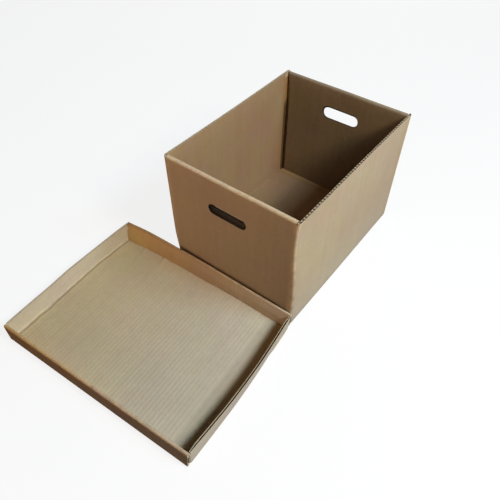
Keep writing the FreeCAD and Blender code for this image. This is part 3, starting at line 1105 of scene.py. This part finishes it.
# Each light's setting on the stage, its share of that power, its place, what it points at, its
# size and its colour.
LIGHTS = {
    "key_light": ("key_light", 1.0, (1.65, 0, 2.3), SCENE_MIDDLE, 0.45, DAYLIGHT),
    "second_key": ("key_light", 0.5, (1.85, 0.55, 2.1), SCENE_MIDDLE, 0.45, DAYLIGHT),
    "near_light": ("near_light", 1.0, (1.25, -0.3, 1.4), SCENE_MIDDLE, 0.35, (1.0, 0.835, 0.605)),
    "side_light": ("side_light", 1.0, (2.8, 0.6, 0.3), SCENE_MIDDLE, 0.8, (0.777, 0.866, 1.0)),
    "front_light": ("front_light", 1.0, (-0.5, -2.6, 0.45), (0, -0.1, 0.25), 1.0,
                    (1.0, 0.57, 0.33)),
    "back_light": ("back_light", 1.0, (-1.4, 2.8, 0.9), SCENE_MIDDLE, 1.2, (1.0, 0.95, 0.9)),
}
WHITE = (1, 1, 1, 1)
AMBIENT_COLOUR, AMBIENT_STRENGTH = (1.0, 0.96, 0.92, 1), 0.015
# The floor as the object sees it, and as the camera does: how much of its white is its own.
FLOOR_BOUNCE, FLOOR_ROUGHNESS = (0.15, 0.14, 0.13, 1), 0.9
FLOOR_PAINT, FLOOR_GLOW = (0.95, 0.95, 0.95, 1), 0.85


def soft_light(name, place, aim, size, power, colour):
    """Hang a large soft light that points at a place."""
    start_alone()
    bpy.ops.object.light_add(type="AREA", location=place)
    light = bpy.context.object
    light.name = name
    light.data.size = size
    light.data.energy = power
    light.data.color = colour
    light.rotation_euler = (Vector(aim) - Vector(place)).to_track_quat("-Z", "Y").to_euler()


def lay_floor(stage):
    """A pale floor that keeps the object's shadow."""
    start_alone()
    bpy.ops.mesh.primitive_plane_add(size=stage.floor_size)
    floor = bpy.context.object
    floor.name = "studio_floor"
    finish = Finish("Studio floor")
    finish.shader.inputs["Base Color"].default_value = FLOOR_BOUNCE
    finish.shader.inputs["Roughness"].default_value = FLOOR_ROUGHNESS
    seen = finish.mix(FLOOR_GLOW, finish.add("BsdfDiffuse", FLOOR_PAINT)[0],
                      finish.add("Emission", WHITE)[0])
    surface = finish.mix(finish.add("LightPath")["Is Camera Ray"], finish.shader.outputs[0], seen)
    finish.feed(finish.tree.nodes["Material Output"].inputs["Surface"], surface)
    floor.data.materials.append(finish.material)


def light_world():
    """A white surround that lights the object softly."""
    world = bpy.data.worlds.new("Studio")
    bpy.context.scene.world = world
    world.use_nodes = True
    world.node_tree.nodes.clear()
    nodes = Nodes(world.node_tree)
    ray = nodes.add("LightPath")
    seen = nodes.math("MAXIMUM", ray["Is Camera Ray"],
                      nodes.math("MAXIMUM", ray["Is Glossy Ray"], ray["Is Transmission Ray"]))
    surface = nodes.mix(seen, nodes.add("Background", AMBIENT_COLOUR, AMBIENT_STRENGTH)[0],
                        nodes.add("Background", WHITE, 1.0)[0])
    nodes.add("OutputWorld", surface)


def place_camera(stage):
    """Set the camera that the scene is seen through."""
    start_alone()
    bpy.ops.object.camera_add(location=stage.camera_place)
    camera = bpy.context.object
    camera.name = "studio_camera"
    camera.data.sensor_width = 36
    camera.data.lens = stage.lens
    camera.data.clip_start = 0.01
    turn = (Matrix.Rotation(stage.camera_turn, 3, "Z")
            @ Matrix.Rotation(math.pi / 2 - stage.camera_tilt, 3, "X")
            @ Matrix.Rotation(stage.camera_roll, 3, "Z"))
    camera.rotation_euler = turn.to_euler()
    bpy.context.scene.camera = camera


FLUTE_STEPS, FLUTE_ROWS = 8, 2
FLUTE_DEPTH, FLUTE_SINK = 0.011, 0.0001


def flute_strip(name, board, run):
    """Fluted paper: one flute shaped from a small sheet and repeated along X, top edge at zero."""
    start_alone()
    bpy.ops.mesh.primitive_grid_add(
        x_subdivisions=FLUTE_STEPS, y_subdivisions=FLUTE_ROWS, size=1)
    strip = bpy.context.object
    strip.name = name
    strip.scale = (board.pitch, FLUTE_DEPTH, 1)
    strip.rotation_euler.x = math.pi / 2
    strip.location = (board.pitch / 2, 0, -FLUTE_DEPTH / 2)
    settle(strip)
    swing = (board.thickness - 2 * board.liner - board.medium) / 2
    bpy.ops.object.mode_set(mode="EDIT")
    for place in sorted({round(corner.co.x, 6) for corner in strip.data.vertices}):
        pick(strip, "VERT", lambda corner: near(corner.co.x, place))
        turn = math.sin(2 * math.pi * place / board.pitch)
        bpy.ops.transform.translate(value=(0, swing * turn, 0))
    bpy.ops.object.mode_set(mode="OBJECT")
    row = strip.modifiers.new("Row", "ARRAY")
    row.count = int(run // board.pitch)
    row.use_relative_offset = False
    row.use_constant_offset = True
    row.constant_offset_displace = (board.pitch, 0, 0)
    row.use_merge_vertices = True
    row.merge_threshold = NEAR
    apply_modifier(strip, row)
    paper = strip.modifiers.new("Paper", "SOLIDIFY")
    paper.thickness = board.medium
    paper.offset = 0
    apply_modifier(strip, paper)
    strip.location.x = -max(corner.co.x for corner in strip.data.vertices) / 2
    settle(strip)
    return strip


def flute_rims():
    """Set fluted paper between the liners along both raw rims of the box."""
    scene = bpy.context.scene
    board, box = scene.storage_board, scene.storage_box
    finish = cut_finish("Fluted paper", board.medium_kraft, MEDIUM_RAGGED, board.pitch)
    for side, name in ((-1, "left_rim_flutes"), (1, "right_rim_flutes")):
        strip = flute_strip(name, board, box.length - 2 * board.crease)
        strip.rotation_euler.z = math.pi / 2
        strip.location = (side * (box.width - board.thickness) / 2, 0, box.height - FLUTE_SINK)
        settle(strip)
        ease(strip, box_bend)
        strip.data.materials.append(finish)
        take(strip)
        bpy.ops.object.shade_smooth_by_angle(angle=FLUTE_SMOOTH_ANGLE)
        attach(strip, "root")


class STORAGE_OT_flute_rims(bpy.types.Operator):
    """Set fluted paper in the raw rims of the box"""

    bl_idname = "storage.flute_rims"
    bl_label = "Flute Rims"

    def execute(self, context):
        flute_rims()
        return {"FINISHED"}


class STORAGE_OT_fold_box(bpy.types.Operator):
    """Fold the box and open its raw edges"""

    bl_idname = "storage.fold_box"
    bl_label = "Fold Box"

    def execute(self, context):
        finish_box(fold_box())
        return {"FINISHED"}


class STORAGE_OT_fold_lid(bpy.types.Operator):
    """Fold the lid and lay it on the floor"""

    bl_idname = "storage.fold_lid"
    bl_label = "Fold Lid"

    def execute(self, context):
        finish_lid(fold_lid())
        return {"FINISHED"}


class STORAGE_OT_set_stage(bpy.types.Operator):
    """Lay the floor, hang the lights and set the camera"""

    bl_idname = "storage.set_stage"
    bl_label = "Set Stage"

    def execute(self, context):
        stage = context.scene.storage_stage
        context.scene.view_settings.view_transform = "Standard"
        lay_floor(stage)
        light_world()
        for name, (setting, part, place, aim, size, colour) in LIGHTS.items():
            soft_light(name, place, aim, size, getattr(stage, setting) * part, colour)
        place_camera(stage)
        return {"FINISHED"}


class STORAGE_PT_panel(bpy.types.Panel):
    """Sizes of the box and its lid, and the steps that make them"""

    bl_label = "Storage Box"
    bl_idname = "STORAGE_PT_panel"
    bl_space_type = "VIEW_3D"
    bl_region_type = "UI"
    bl_category = "Storage Box"

    def draw(self, context):
        for group in ("storage_board", "storage_box", "storage_lid", "storage_stage"):
            settings = getattr(context.scene, group)
            column = self.layout.column()
            for name in settings.__annotations__:
                column.prop(settings, name)
        for step in STEPS:
            self.layout.operator(step.bl_idname)


STEPS = (STORAGE_OT_set_stage, STORAGE_OT_fold_box, STORAGE_OT_flute_rims, STORAGE_OT_fold_lid)
GROUPS = {"storage_board": BoardSettings, "storage_box": BoxSettings,
          "storage_lid": LidSettings, "storage_stage": StageSettings}


def register():
    """Add the settings, the steps and the panel to Blender."""
    for name, group in GROUPS.items():
        bpy.utils.register_class(group)
        setattr(bpy.types.Scene, name, PointerProperty(type=group))
    for step in STEPS:
        bpy.utils.register_class(step)
    bpy.utils.register_class(STORAGE_PT_panel)


def unregister():
    """Take them away again."""
    bpy.utils.unregister_class(STORAGE_PT_panel)
    for step in reversed(STEPS):
        bpy.utils.unregister_class(step)
    for name, group in GROUPS.items():
        delattr(bpy.types.Scene, name)
        bpy.utils.unregister_class(group)


def main():
    """Make everything in order."""
    register()
    bpy.ops.storage.set_stage()
    bpy.ops.storage.fold_box()
    bpy.ops.storage.flute_rims()
    bpy.ops.storage.fold_lid()
    start_alone()


if __name__ == "__main__":
    main()
